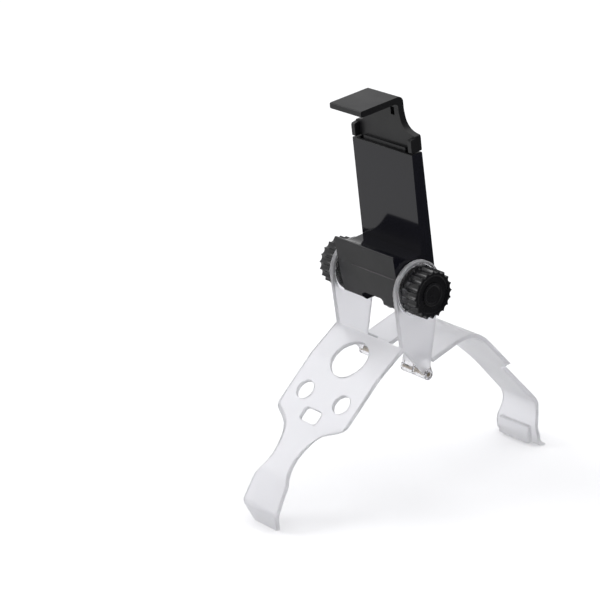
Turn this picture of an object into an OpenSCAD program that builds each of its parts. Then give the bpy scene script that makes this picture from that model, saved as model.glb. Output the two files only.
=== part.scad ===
// Controller phone clip: a clear folding bracket that wraps a game controller, with a tilting spring clamp
// for a phone between its two ears. X runs along the knobs, -Y is the front, +Z is up. The clip stands open
// on its two feet. Profiles are drawn about the knobs' axis and then set down on the floor.

/* [Clear bracket] */
// Width across the outer faces of the two ears
bracket_w = 41.2; // [39:0.2:46]
// Thickness of the clear sheet
sheet_t = 2; // [1.6:0.1:2.6]
// Thickness of an ear
ear_t = 2.3; // [1.8:0.1:3]
// Radius of an ear's round top
ear_r = 12; // [11:0.5:13]
// Width of the ring groove round the knob on an ear's inner face
ring_w = 0.8; // [0.4:0.1:1]
// Depth of the ring groove
ring_deep = 0.5; // [0.2:0.1:0.8]
// Height of the knobs' axis above the floor
pivot_h = 92.5; // [90:0.5:100]
// How far the ridge of the face plate lies in front of the knobs' axis
ridge_front = 8.2; // [7:0.2:10]
// How far the ridge of the face plate lies below the knobs' axis
ridge_drop = 23.2; // [22:0.2:26]
// Length of the face plate's upper stretch
upper_len = 17.2; // [14:0.2:20]
// Slope of the face plate's upper stretch
upper_slope = 36.8; // [32:0.2:42]
// Length of the face plate's main stretch
face_len = 52.1; // [50:0.2:54]
// Slope of the face plate's main stretch
face_slope = 44.8; // [42:0.2:48]
// Length of the front leg's blade
blade_len = 15.7; // [14:0.2:17]
// Slope of the front leg's blade
blade_slope = 61.5; // [56:0.5:68]
// How far the front toe curls back under the blade
toe_curl = 3.5; // [2:0.1:5]

/* [Face plate outline] */
// Distance of the face plate's lower corners below the knobs' axis
corner_drop = 51.8; // [50:0.2:54]
// Half width where the neck starts
neck_top_half = 9.2; // [8:0.2:11]
// Half width of the neck at its narrowest
neck_half = 5.6; // [5:0.2:7]
// Half width of the blade at its upper corners
blade_top_half = 9.8; // [9:0.2:11]
// Half width of the blade near the toe
blade_half = 10.7; // [10:0.2:12]
// Half width of the toe on the floor
toe_half = 6.5; // [5:0.2:8]

/* [Face plate holes] */
// Diameter of the round hole over the controller's large button
guide_hole_d = 17.6; // [15:0.2:19]
// Distance of the large hole's centre from the ridge, along the plate
guide_hole_s = 13.2; // [12:0.2:15]
// Diameter of the two small round holes
small_hole_d = 8.4; // [6:0.2:9]
// Half distance between the small holes' centres
small_hole_x = 11.3; // [9:0.1:13]
// Distance of the small holes' centres from the bend, along the plate
small_hole_s = 15.2; // [14:0.2:16]
// Length of the rounded slot
slot_l = 10.2; // [8:0.2:12]
// Width of the rounded slot
slot_w = 6; // [4.5:0.1:6.4]
// Distance of the slot's centre from the bend, along the plate
slot_s = 24.4; // [24:0.2:26]

/* [Rear arm] */
// Distance behind the knobs' axis of the point where the arm's first stretch is measured
arm_root_back = 5.6; // [5:0.1:7]
// Distance of that point below the knobs' axis
arm_root_drop = 32.5; // [32:0.1:33.5]
// Length of the arm's first stretch
arm_rise_len = 28.2; // [26:0.2:32]
// Upward slope of the arm's first stretch
arm_rise_slope = 19; // [16:0.5:22]
// Radius of the arm's upper bend
arm_bend_r = 18; // [8:0.5:20]
// Length of the arm's long stretch
arm_fall_len = 72; // [69:0.5:75]
// Downward slope of the arm's long stretch
arm_fall_slope = 45.3; // [44:0.1:47]
// Half width of the window in the first stretch
window_half = 5; // [4:0.2:6]
// Length of the window behind the hinge axis
window_len = 19; // [16:0.5:22]
// Distance from the knobs' axis down to the tip of the side step
step_drop = 45; // [44:0.2:48]
// Half width of the arm's right side below the step
arm_right_half = 13; // [11:0.2:15]
// Half width of the arm's left side at its waist
arm_left_half = 6; // [5:0.2:9]
// Half width above the rear foot
ankle_half = 10.2; // [9:0.2:12]
// Half width of the rear foot
foot_half = 12.8; // [12:0.2:14]
// Height of the rear foot's inner lip
lip_h = 7.6; // [6:0.2:9]
// Width of the rear foot's inner lip
lip_w = 18; // [14:0.5:20]
// Thickness of the rear foot's inner lip
lip_t = 2.2; // [1.5:0.1:3]

/* [Bracket hinge] */
// Distance of the hinge axis behind the knobs' axis
hinge_back = 6.6; // [6:0.1:7.5]
// Distance of the hinge axis below the knobs' axis
hinge_drop = 38.4; // [38:0.1:39.5]
// Diameter of the hinge knuckles
knuckle_d = 4.6; // [4.2:0.1:5]
// Diameter of the steel hinge pins
hinge_pin_d = 2; // [1.6:0.1:2.2]
// Gap between the two knuckles on a pin
knuckle_gap = 0.4; // [0.3:0.05:0.8]

/* [Phone clamp] */
// Forward lean of the clamp
lean = 8; // [0:1:20]
// Gap between the clamp's end faces and the ears
side_gap = 0.4; // [0.3:0.05:0.8]
// Distance of the slab's front face behind the knobs' axis
slab_back = 5.4; // [5:0.1:7]
// Thickness of the slab
slab_t = 5.5; // [5.4:0.1:7]
// Distance of the slab's top above the knobs' axis
slab_top = 55.4; // [50:0.2:66]
// Height of the phone shelf above the knobs' axis
shelf_h = 12.6; // [12:0.1:14]
// Height of the lower jaw's lip above the shelf
lip_rise = 4; // [3:0.1:5]
// Reach of the lower jaw in front of the knobs' axis
lower_reach = 9.6; // [8:0.1:10.5]
// Wall of the clamp's shells
shell_t = 2.2; // [1.8:0.1:2.4]
// Thin wall in front of and behind the slider
slider_wall = 1.3; // [1.1:0.1:1.6]

/* [Top jaw] */
// Height of the collar that sits on the slab
collar_h = 6.4; // [5:0.2:8]
// Gap between the slab and the collar when closed
collar_gap = 0.6; // [0.3:0.1:1]
// Height of the jaw's upper face above the collar's underside
jaw_h = 21.2; // [18:0.2:26]
// Width of the jaw plate
jaw_w = 18.6; // [16:0.2:24]
// Reach of the jaw plate in front of the knobs' axis
jaw_reach = 11.3; // [9:0.1:14]
// Thickness of the jaw plate
jaw_t = 2.6; // [2.2:0.1:3.4]
// Thickness of the neck and the collar's back
neck_t = 2.9; // [2.4:0.1:3.4]
// Thickness of a collar cheek
cheek_t = 2; // [1.5:0.1:3]
// Width of the slider's tongue
tongue_w = 25; // [22:0.5:26]
// Clearance round the tongue
tongue_gap = 0.3; // [0.2:0.05:0.4]
// How far the slider pulls out
jaw_travel = 28; // [20:1:30]

/* [Knobs and studs] */
// Diameter of a knob over its teeth
knob_d = 20; // [18:0.2:22]
// Thickness of a knob
knob_t = 8.8; // [7:0.2:10]
// Number of teeth on a knob
knob_teeth = 20; // [16:1:24]
// Radius of the scallop between two teeth
scallop_r = 1.75; // [1.2:0.05:2]
// Depth of a scallop
scallop_depth = 0.75; // [0.5:0.05:1]
// Gap between a knob and its ear
knob_gap = 0.1; // [0.05:0.05:0.3]
// Diameter of a knob's cap
cap_d = 9.8; // [9:0.1:10.4]
// Thickness of a knob's cap
cap_t = 1.4; // [1:0.1:1.8]
// Diameter of the studs
stud_d = 4; // [3:0.5:5]
// Width across the flats of a stud's head
stud_head_af = 7; // [6:0.5:8]
// Thickness of a stud's head
stud_head_t = 2.8; // [2:0.1:3]
// Diameter of an insert nut
nut_d = 6; // [5.6:0.1:6.6]
// Length of an insert nut
nut_l = 5; // [4:0.5:6]
// Diameter of a friction washer
washer_d = 14; // [12:0.5:15]
// Thickness of a friction washer
washer_t = 1; // [0.8:0.1:1.2]

/* [Springs and screw] */
// Distance of a jaw spring from the middle
spring_x = 8; // [6:0.5:9]
// Outer diameter of a jaw spring
spring_d = 2.2; // [1.8:0.1:2.4]
// Diameter of the two spring pins
spring_pin_d = 1.2; // [1:0.1:1.4]
// Diameter of the back cover's screw
screw_d = 2.2; // [2:0.1:2.6]
// Diameter of the screw's head
screw_head_d = 4; // [3.6:0.1:4.4]
// Length of the screw under its head
screw_l = 8; // [6:0.5:9]

/* [Hidden] */
$fn = 64;
sides = ["left", "right"];
clear = [0.86, 0.87, 0.89, 0.55];
black = [0.10, 0.10, 0.11];
steel = [0.70, 0.70, 0.72];
brass = [0.78, 0.62, 0.30];
nylon = [0.90, 0.90, 0.88];
far = 200;
fit = 0.05;
cut = 0.01;

// Places across the width
half_w = bracket_w / 2;
ear_in = half_w - ear_t;
clamp_half = ear_in - side_gap;
knob_in = half_w + knob_gap;
knob_out = knob_in + knob_t;

// Joint axes, as [y, z] about the knobs' axis
hinge_at = [hinge_back, -hinge_drop];
knuckle_r = knuckle_d / 2;

// Outer line of the face plate and the front leg
ridge = [-ridge_front, -ridge_drop];
bend_front = ridge + heading(180 + upper_slope, upper_len);
knee_front = bend_front + heading(180 + face_slope, face_len);
toe_front = knee_front + heading(180 + blade_slope, blade_len);
toe_end = [toe_front[0] + toe_curl * (pivot_h + toe_front[1] + sheet_t) / (pivot_h + toe_front[1]), -pivot_h - sheet_t];
front_line = rounded_line([ridge, bend_front, knee_front, toe_front, toe_end], [30, 12, 5]);

// Outer line of the rear arm
arm_root = [arm_root_back, -arm_root_drop];
arm_start = arm_root + heading(arm_rise_slope, 2.6 / cos(arm_rise_slope));
bend_rear = arm_root + heading(arm_rise_slope, arm_rise_len);
knee_rear = bend_rear + heading(-arm_fall_slope, arm_fall_len);
ankle = [knee_rear[0] - 2.7, -pivot_h + 8.5];
foot_heel = [ankle[0] + 0.9, -pivot_h + 2.6];
flare_end = [foot_heel[0] + 4.6, -pivot_h - 0.8];
rear_line = rounded_line([arm_start, bend_rear, knee_rear, ankle, foot_heel, flare_end], [arm_bend_r, 12, 6, 1.6]);

// The box over the floor is centred on the origin
front_most = min([for (p = front_line) p[0][0]]);
rear_most = foot_heel[0] + (flare_end[0] - foot_heel[0]) * (foot_heel[1] + pivot_h) / (foot_heel[1] - flare_end[1]);
centre_y = (front_most + rear_most) / 2;

// Clamp section, as [y, z] in the clamp's own frame before it leans
slab_front = slab_back;
slab_rear = slab_back + slab_t;
crease = [-(lower_reach - 0.7), 6.4];
block_toe = [-(lower_reach - 2.3), -8.4];
block_heel = [5.5, -9.6];
block_rear = [slab_rear + 1, 2];
seam_y = slab_back + 3.2;
clamp_section = [
    [-lower_reach, shelf_h + lip_rise], crease, block_toe, block_heel, block_rear,
    [slab_rear, slab_top], [slab_front, slab_top], [slab_front, shelf_h], [-3, shelf_h], [-(lower_reach - 1.1), shelf_h + lip_rise]
];
clamp_radii = [0.5, 0.8, 1.2, 5, 8, 0.6, 0.3, 0.3, 12, 1.5];
cavity_half = clamp_half - shell_t;
tongue_y0 = slab_front + slider_wall;
tongue_y1 = slab_rear - slider_wall;
tongue_y = (tongue_y0 + tongue_y1) / 2;

// Top jaw
collar_z = slab_top + collar_gap;
collar_top = collar_z + collar_h;
jaw_z = collar_z + jaw_h;
neck_y = slab_rear - neck_t;
tongue_bottom = shelf_h + 5;
anchor_z = shelf_h + 2.6;
hook_z = slab_top - 4;
slot_half = spring_d / 2 + 0.5;

// Studs, nuts and washers
stud_end = clamp_half - 9.2;
nut_out = clamp_half - 3.6;
head_x = knob_in + 4.4;
cap_x = knob_out - 0.2 - cap_t;
screw_z = shelf_h - 4.6;
screw_seat_y = block_rear[0] - 1.7;
boss_r = 3;

function heading(angle, length) = length * [cos(angle), sin(angle)];
function unit(v) = v / norm(v);
function left_of(v) = [-v[1], v[0]];
function turned(v, a) = [v[0] * cos(a) - v[1] * sin(a), v[0] * sin(a) + v[1] * cos(a)];
function turn(a, b) = atan2(a[0] * b[1] - a[1] * b[0], a * b);
function reversed(list) = [for (k = [len(list) - 1:-1:0]) list[k]];

// A rounded corner at b as a list of [point, left normal]
function corner(a, b, c, r, steps = 8) =
    let (
        d1 = unit(b - a),
        d2 = unit(c - b),
        swing = turn(d1, d2),
        s = sign(swing),
        n1 = left_of(d1),
        centre = b - d1 * r * tan(abs(swing) / 2) + s * r * n1
    )
    [for (k = [0:steps]) let (n = turned(n1, swing * k / steps)) [centre - s * r * n, n]];

// An open line with rounded corners, as a list of [point, left normal]
function rounded_line(points, radii) =
    let (last = len(points) - 1)
    concat(
        [[points[0], left_of(unit(points[1] - points[0]))]],
        [for (k = [1:last - 1]) each corner(points[k - 1], points[k], points[k + 1], radii[k - 1])],
        [[points[last], left_of(unit(points[last] - points[last - 1]))]]
    );

// A closed outline with rounded corners
function rounded_loop(points, radii) =
    let (count = len(points))
    [
        for (k = [0:count - 1])
        each [for (p = corner(points[(k + count - 1) % count], points[k], points[(k + 1) % count], radii[k])) p[0]]
    ];

function beside(line, distance) = [for (p = line) p[0] + distance * p[1]];

// Where a line from q touches a circle of radius r round the axis
function touch(q, r, side) = heading(atan2(q[1], q[0]) + side * acos(r / norm(q)), r);

module along_x(width) {
    rotate([90, 0, 90]) linear_extrude(width, center = true) children();
}

module along_y(length) {
    rotate([90, 0, 0]) linear_extrude(length, center = true) children();
}

module rod(x0, x1, r) {
    translate([x0, 0, 0]) rotate([0, 90, 0]) cylinder(h = x1 - x0, r = r);
}

module standing() {
    translate([0, -centre_y, pivot_h]) children();
}

module leaning() {
    standing() rotate([lean, 0, 0]) children();
}

module on_side(side) {
    mirror([side == "left" ? 1 : 0, 0, 0]) children();
}

module above_floor() {
    difference() {
        children();
        translate([-far / 2, -far / 2, -pivot_h - far]) cube(far);
    }
}

// Front bracket

module face_sheet() {
    along_x(bracket_w) polygon(concat(beside(front_line, 0), reversed(beside(front_line, sheet_t))));
}

module face_outline() {
    right = [
        [half_w, cut - ridge_drop + 2 * sheet_t], [half_w, -corner_drop], [neck_top_half, -corner_drop - 4.6], [neck_half, -corner_drop - 14.2],
        [blade_top_half, -corner_drop - 21.4], [blade_half, -pivot_h + 8.5], [toe_half, -pivot_h - 1]
    ];
    edge = [for (p = rounded_line(right, [3, 9, 9, 1.5, 3])) p[0]];
    along_y(far) polygon(concat(edge, reversed([for (p = edge) [-p[0], p[1]]])));
}

// Places children on the face plate's main stretch, with +Z out of the plate and +Y up the plate
module on_face(distance) {
    place = bend_front + heading(180 + face_slope, distance);
    translate([0, place[0], place[1]]) rotate([face_slope, 0, 0]) children();
}

module on_upper_face(distance) {
    place = ridge + heading(180 + upper_slope, distance);
    translate([0, place[0], place[1]]) rotate([upper_slope, 0, 0]) children();
}

module face_holes() {
    on_upper_face(guide_hole_s) cylinder(h = 20, d = guide_hole_d, center = true);
    for (x = [-small_hole_x, small_hole_x]) on_face(small_hole_s) translate([x, 0, 0]) cylinder(h = 20, d = small_hole_d, center = true);
    on_face(slot_s) linear_extrude(20, center = true) rounded_rectangle(slot_l, slot_w, 1.7);
}

module rounded_rectangle(l, w, r) {
    polygon(rounded_loop([[-l / 2, -w / 2], [l / 2, -w / 2], [l / 2, w / 2], [-l / 2, w / 2]], [r, r, r, r]));
}

module ear_section() {
    rear_corner = [hinge_back + 0.9, -hinge_drop + 4.4];
    circle(r = ear_r);
    polygon([
        touch(ridge, ear_r, -1), ridge, ridge + heading(180 + upper_slope, 3), ridge + heading(180 + upper_slope, 3) + heading(upper_slope - 90, sheet_t),
        ridge + heading(upper_slope - 90, sheet_t + 0.6), hinge_at + [-knuckle_r, 0.6], hinge_at + [-knuckle_r, 0], hinge_at + [knuckle_r, 0],
        rear_corner, touch(rear_corner, ear_r, 1)
    ]);
    translate(hinge_at) circle(r = knuckle_r);
}

// The ring groove in an ear's inner face, just outside the knob's rim
module ear_groove() {
    inner = knob_d / 2 - 0.1;
    difference() {
        rod(ear_in - 1, ear_in + ring_deep, inner + ring_w);
        rod(ear_in - 2, ear_in + ring_deep + 1, inner);
    }
}

module front_bracket() {
    color(clear) standing() difference() {
        union() {
            above_floor() difference() {
                intersection() {
                    face_sheet();
                    face_outline();
                }
                face_holes();
            }
            for (side = sides) on_side(side) {
                translate([half_w - ear_t / 2, 0, 0]) along_x(ear_t) ear_section();
                translate([0, hinge_back, -hinge_drop]) rod(outer_knuckle_x, half_w, knuckle_r);
            }
        }
        for (side = sides) on_side(side) ear_groove();
        rod(-half_w - 1, half_w + 1, stud_d / 2 + 0.2);
        translate([0, hinge_back, -hinge_drop]) rod(-half_w - 1, half_w + 1, hinge_pin_d / 2 + fit);
    }
}

// Rear arm

inner_knuckle_x = window_half + 0.5;
outer_knuckle_x = (inner_knuckle_x + half_w) / 2 + knuckle_gap / 2;

module arm_sheet() {
    along_x(bracket_w) polygon(concat(beside(rear_line, 0), reversed(beside(rear_line, -sheet_t))));
}

// What is cut off the arm's left side, seen from above
module left_waste() {
    waist = bend_rear[0] + 24;
    end_y = knee_rear[0] - 6;
    edge = rounded_line([[-half_w - 1, bend_rear[0]], [-half_w, bend_rear[0] + 1.5], [-arm_left_half, waist], [-arm_left_half - 2, end_y]], [8, 14]);
    translate([0, 0, -far / 2]) linear_extrude(far) polygon(concat([for (p = edge) p[0]], [[-half_w - 1, end_y]]));
}

// What is cut off one side of the arm near the foot, seen from the front
module ankle_waste(upper_half) {
    upper_z = -bend_rear[1] - (arm_fall_len - 8) * sin(arm_fall_slope);
    knee_z = knee_rear[1];
    edge = rounded_line(
        [[upper_half, knee_z + 6.6], [ankle_half, knee_z - 3], [foot_half, -pivot_h + 5], [foot_half, -pivot_h - 1]],
        [12, 4]
    );
    along_y(far) polygon(concat([for (p = edge) p[0]], [[half_w + 1, -pivot_h - 1], [half_w + 1, knee_z + 6.6]]));
}

// The step on the arm's right side, seen from the front
module step_waste() {
    knee_z = knee_rear[1];
    edge = rounded_line(
        [[half_w + 1, -step_drop + 0.6], [half_w - 0.6, -step_drop - 0.2], [arm_right_half, -step_drop - 4.4], [arm_right_half, knee_z + 6.6]],
        [1.4, 1.2]
    );
    along_y(far) polygon(concat([for (p = edge) p[0]], [[half_w + 1, knee_z + 6.6]]));
}

module window() {
    end_y = hinge_back + window_len - window_half;
    translate([0, 0, -arm_root_drop]) linear_extrude(40, center = true) {
        translate([0, end_y]) circle(r = window_half);
        translate([-window_half, end_y - 30]) square([2 * window_half, 30]);
    }
}

module arm_knuckle() {
    length = outer_knuckle_x - knuckle_gap - inner_knuckle_x;
    top = arm_start + [0.3, 0];
    translate([inner_knuckle_x + length / 2, 0, 0]) along_x(length) {
        polygon([top, top - [2.6, 1.2], hinge_at + [-knuckle_r, 0], hinge_at + [knuckle_r, 0], top + [0.6, -sheet_t - 0.6]]);
        translate(hinge_at) circle(r = knuckle_r);
    }
}

module foot_lip() {
    translate([-lip_w / 2, ankle[0] - sheet_t - lip_t + 0.6, -pivot_h + 1.2]) cube([lip_w, lip_t, lip_h]);
}

module rear_arm() {
    color(clear) standing() difference() {
        union() {
            above_floor() difference() {
                arm_sheet();
                left_waste();
                step_waste();
                ankle_waste(arm_right_half);
                on_side("left") ankle_waste(arm_left_half + 2);
                window();
            }
            for (side = sides) on_side(side) arm_knuckle();
            foot_lip();
        }
        translate([0, hinge_back, -hinge_drop]) rod(-half_w - 1, half_w + 1, hinge_pin_d / 2 + fit);
    }
}

module hinge_pin(side) {
    color(steel) standing() on_side(side) translate([0, hinge_back, -hinge_drop]) rod(inner_knuckle_x + 0.3, half_w - 0.2, hinge_pin_d / 2);
}

// Phone clamp

module clamp_solid() {
    along_x(2 * clamp_half) polygon(rounded_loop(clamp_section, clamp_radii));
}

// The slot that the slider's tongue runs in, open at the top
module slider_space() {
    translate([-cavity_half, tongue_y0, shelf_h]) cube([2 * cavity_half, tongue_y1 - tongue_y0, slab_top - shelf_h + 1]);
}

// The hollow under the shelf, open at the bottom
module block_space() {
    top = shelf_h - shell_t;
    rear = slab_rear + 1 - shell_t;
    along_x(2 * cavity_half) polygon([
        [shell_t - lower_reach, top + lip_rise - 1.4], [-3, top], [rear - 1, top], [rear, 2], [block_heel[0] - 0.5, block_heel[1] + 3.2],
        [block_heel[0] - 0.5, -far / 4], [shell_t + block_toe[0], -far / 4], [shell_t + block_toe[0], block_toe[1]], [shell_t + crease[0], crease[1]]
    ]);
}

module front_half() {
    translate([-far / 2, seam_y - far, -far / 2]) cube([far, far, far]);
}

module screw_boss() {
    translate([0, seam_y, screw_z]) rotate([90, 0, 0]) cylinder(h = seam_y - crease[0] - 1, r = boss_r);
}

module stud_barrel() {
    rod(stud_end - 0.6, cavity_half + cut, nut_d / 2 + 1.4);
}

// Cross ribs either side of the notch, which close the hollow block's middle
module block_ribs() {
    for (side = sides) on_side(side) translate([7.3, 0, 0]) along_x(1.6) polygon([
        crease + [0.6, 0], block_toe + [0.6, 0.3], [-5, -10], [2, -10.4], [6.6, -9], [seam_y - 0.3, -6], [seam_y - 0.3, shelf_h - 1],
        [-6, shelf_h - 1]
    ]);
}

// Blocks in the bottom corners of the slider space that hold the anchor pin
module pin_blocks() {
    depth = seam_y - tongue_y0;
    for (side = sides) on_side(side) translate([tongue_w / 2 + tongue_gap, tongue_y0, shelf_h - 1]) cube([cavity_half - tongue_w / 2 - tongue_gap, depth, 5.4]);
}

module clamp_body() {
    color(black) leaning() difference() {
        union() {
            difference() {
                intersection() {
                    clamp_solid();
                    front_half();
                }
                slider_space();
                block_space();
            }
            pin_blocks();
            block_ribs();
            screw_boss();
            for (side = sides) on_side(side) stud_barrel();
        }
        translate([0, block_toe[0] + 1, block_toe[1]]) along_y(2 * shell_t + 3) rounded_rectangle(13, 6, 1.5);
        for (side = sides) on_side(side) {
            rod(stud_end - 1, clamp_half + 1, stud_d / 2 + 0.3);
            rod(nut_out - nut_l, nut_out + cut, nut_d / 2);
            rod(nut_out, clamp_half + 1, stud_d / 2 + 0.3);
            rod(clamp_half - washer_t + side_gap - fit, clamp_half + 1, washer_d / 2 + 0.15);
        }
        translate([0, tongue_y, anchor_z]) rod(-clamp_half + 1, clamp_half - 1, spring_pin_d / 2 + fit);
        translate([0, screw_seat_y, screw_z]) rotate([90, 0, 0]) cylinder(h = screw_l + 0.6, d = screw_d);
    }
}

module back_cover() {
    color(black) leaning() difference() {
        union() {
            difference() {
                clamp_solid();
                front_half();
                slider_space();
                block_space();
            }
            translate([0, block_rear[0] - 1, screw_z]) rotate([90, 0, 0]) cylinder(h = block_rear[0] - 1 - seam_y, r = boss_r);
        }
        translate([0, far / 2, screw_z]) rotate([90, 0, 0]) cylinder(h = far, d = screw_d + 0.3);
        translate([0, screw_seat_y + 20, screw_z]) rotate([90, 0, 0]) cylinder(h = 20, d = screw_head_d + 1);
    }
}

module cover_screw() {
    color(steel) leaning() translate([0, screw_seat_y, screw_z]) rotate([90, 0, 0]) {
        cylinder(h = screw_l, d = screw_d - 2 * fit);
        translate([0, 0, -1.4]) difference() {
            cylinder(h = 1.4, d = screw_head_d);
            for (a = [0, 90]) rotate([0, 0, a]) translate([-1.2, -0.3, -cut]) cube([2.4, 0.6, 0.9]);
        }
    }
}

module spring_pin(z, half_length) {
    color(steel) leaning() translate([0, tongue_y, z]) rod(-half_length, half_length, spring_pin_d / 2);
}

// Top jaw

module jaw_section() {
    polygon(rounded_loop(
        [[slab_rear, collar_z], [slab_rear, jaw_z], [-jaw_reach, jaw_z], [-jaw_reach, jaw_z - jaw_t], [neck_y, jaw_z - jaw_t], [neck_y, collar_z]],
        [0.4, 2.6, 0.7, 0.7, 1.6, 0.3]
    ));
}

module jaw_front_view() {
    half = jaw_w / 2;
    right = [[clamp_half, collar_z - 1], [clamp_half, collar_top], [half + 1.4, collar_top + 1.2], [half, collar_top + 9], [half, jaw_z + 1]];
    edge = [for (p = rounded_line(right, [0.8, 7, 10])) p[0]];
    along_y(far) polygon(concat(edge, reversed([for (p = edge) [-p[0], p[1]]])));
}

module cheek() {
    height = collar_h - 0.2;
    translate([clamp_half - cheek_t / 2, 0, 0]) along_x(cheek_t) polygon(rounded_loop(
        [[slab_front, collar_z], [slab_rear - 0.5, collar_z], [slab_rear - 0.5, collar_z + height], [slab_front, collar_z + height - 0.8]], [0.5, 0.2, 0.5, 1]
    ));
}

module tongue() {
    y0 = tongue_y0 + tongue_gap / 2;
    thickness = tongue_y1 - tongue_y0 - tongue_gap;
    difference() {
        translate([-tongue_w / 2, y0, tongue_bottom]) cube([tongue_w, thickness, collar_z + 1 - tongue_bottom]);
        for (x = [-spring_x, spring_x])
            translate([x - slot_half, y0 - 1, tongue_bottom - 1]) cube([2 * slot_half, thickness + 2, hook_z + 3 - tongue_bottom]);
    }
}

module core_holes() {
    for (x = [-5.6, 5.6]) translate([x - 1.1, neck_y - 1, jaw_z - jaw_t - 5.4]) cube([2.2, 2.6, 3.4]);
}

module top_jaw() {
    color(black) leaning() difference() {
        union() {
            intersection() {
                along_x(2 * clamp_half) jaw_section();
                jaw_front_view();
            }
            for (side = sides) on_side(side) cheek();
            tongue();
        }
        core_holes();
        translate([0, tongue_y, hook_z]) rod(-spring_x - slot_half - 1.6, spring_x + slot_half + 1.6, spring_pin_d / 2 + fit);
    }
}

module jaw_spring(side) {
    loop_r = spring_pin_d / 2 + 0.08 + 0.2;
    loop_gap = loop_r + 0.05;
    color(steel) leaning() on_side(side) translate([spring_x, tongue_y, 0]) {
        translate([0, 0, anchor_z + loop_gap]) cylinder(h = hook_z - anchor_z - 2 * loop_gap, d = spring_d);
        for (z = [anchor_z, hook_z]) translate([0, 0, z]) rotate([0, 90, 0]) rotate_extrude() translate([loop_r, 0]) circle(r = 0.2, $fn = 24);
    }
}

// Pivot hardware

module insert_nut(side) {
    color(brass) leaning() on_side(side) difference() {
        rod(nut_out - nut_l + 0.1, nut_out - 0.1, nut_d / 2 - fit);
        rod(nut_out - nut_l - 1, nut_out + 1, stud_d / 2 + fit);
        for (a = [0:30:330]) rotate([a, 0, 0]) translate([nut_out - nut_l, nut_d / 2 - 0.25, -0.25]) cube([nut_l, 1, 0.5]);
    }
}

module washer(side) {
    x0 = clamp_half + side_gap - fit - washer_t + 0.02;
    color(nylon) leaning() on_side(side) difference() {
        rod(x0, x0 + washer_t, washer_d / 2);
        rod(x0 - 1, x0 + washer_t + 1, stud_d / 2 + 0.25);
    }
}

module stud(side) {
    color(steel) leaning() on_side(side) {
        rod(stud_end, head_x + cut, stud_d / 2);
        translate([head_x, 0, 0]) rotate([0, 90, 0]) cylinder(h = stud_head_t, d = stud_head_af / cos(30), $fn = 6);
    }
}

module knob(side) {
    orbit = knob_d / 2 - scallop_depth + scallop_r;
    color(black) leaning() on_side(side) difference() {
        rod(knob_in, knob_out, knob_d / 2);
        for (k = [0:knob_teeth - 1])
            rotate([360 * k / knob_teeth, 0, 0]) translate([0, orbit, 0]) rod(knob_in - 1, knob_out + 1, scallop_r, $fn = 32);
        rod(knob_in - 1, head_x + 1, stud_d / 2 + 0.02);
        translate([head_x, 0, 0]) rotate([0, 90, 0]) cylinder(h = knob_t, d = stud_head_af / cos(30) + 0.1, $fn = 6);
        rod(cap_x, knob_out + 1, cap_d / 2 + 0.05);
        rod(knob_out - 0.8, knob_out + 1, knob_d / 2 - 2.1);
    }
}

module knob_cap(side) {
    color(black) leaning() on_side(side) difference() {
        rod(cap_x, cap_x + cap_t, cap_d / 2);
        rod(cap_x + cap_t - 0.3, cap_x + cap_t + 1, cap_d / 2 - 1.2);
    }
}

front_bracket();
rear_arm();
hinge_pin("left");  // left_hinge_pin
hinge_pin("right");  // right_hinge_pin
clamp_body();
back_cover();
cover_screw();
top_jaw();
spring_pin(anchor_z, cavity_half - 0.2);  // spring_anchor_pin
spring_pin(hook_z, spring_x + slot_half + 1.4);  // jaw_spring_pin
jaw_spring("left");  // left_jaw_spring
jaw_spring("right");  // right_jaw_spring
insert_nut("left");  // left_insert_nut
insert_nut("right");  // right_insert_nut
washer("left");  // left_washer
washer("right");  // right_washer
stud("left");  // left_stud
stud("right");  // right_stud
knob("left");  // left_knob
knob("right");  // right_knob
knob_cap("left");  // left_knob_cap
knob_cap("right");  // right_knob_cap
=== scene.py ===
import math
import bmesh
import bpy
from mathutils import Matrix, Vector
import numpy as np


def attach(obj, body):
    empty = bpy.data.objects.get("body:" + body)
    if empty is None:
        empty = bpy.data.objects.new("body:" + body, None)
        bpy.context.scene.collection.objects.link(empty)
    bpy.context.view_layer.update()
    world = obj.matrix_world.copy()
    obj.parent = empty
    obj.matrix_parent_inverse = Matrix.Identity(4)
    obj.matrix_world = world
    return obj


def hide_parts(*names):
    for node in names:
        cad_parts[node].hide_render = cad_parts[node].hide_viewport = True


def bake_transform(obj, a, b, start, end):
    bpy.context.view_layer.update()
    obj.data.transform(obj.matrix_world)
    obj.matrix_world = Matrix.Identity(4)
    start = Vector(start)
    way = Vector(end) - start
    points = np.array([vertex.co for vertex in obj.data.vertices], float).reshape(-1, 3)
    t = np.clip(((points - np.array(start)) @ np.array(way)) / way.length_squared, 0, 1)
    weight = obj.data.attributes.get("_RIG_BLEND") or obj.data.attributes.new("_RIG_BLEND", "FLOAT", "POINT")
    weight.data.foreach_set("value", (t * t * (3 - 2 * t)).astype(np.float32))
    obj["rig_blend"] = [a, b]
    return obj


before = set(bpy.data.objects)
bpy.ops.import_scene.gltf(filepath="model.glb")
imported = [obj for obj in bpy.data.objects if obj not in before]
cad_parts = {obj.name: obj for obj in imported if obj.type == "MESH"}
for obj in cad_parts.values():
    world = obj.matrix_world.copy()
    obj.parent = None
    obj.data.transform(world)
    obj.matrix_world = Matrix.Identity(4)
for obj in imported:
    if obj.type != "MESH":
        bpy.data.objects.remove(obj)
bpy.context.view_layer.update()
print("frame loaded:", len(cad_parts), "pieces")

# Sizes are in millimetres and turned to metres where a piece is made
mm = 0.001

# Where the knobs' axis and the bracket's hinge run, and the lean of the clamp
layout = {
    "pivotY": -9.36,
    "pivotZ": 92.5,
    "hingeY": -2.76,
    "hingeZ": 54.1,
    "leanDeg": 8,
}

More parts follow.
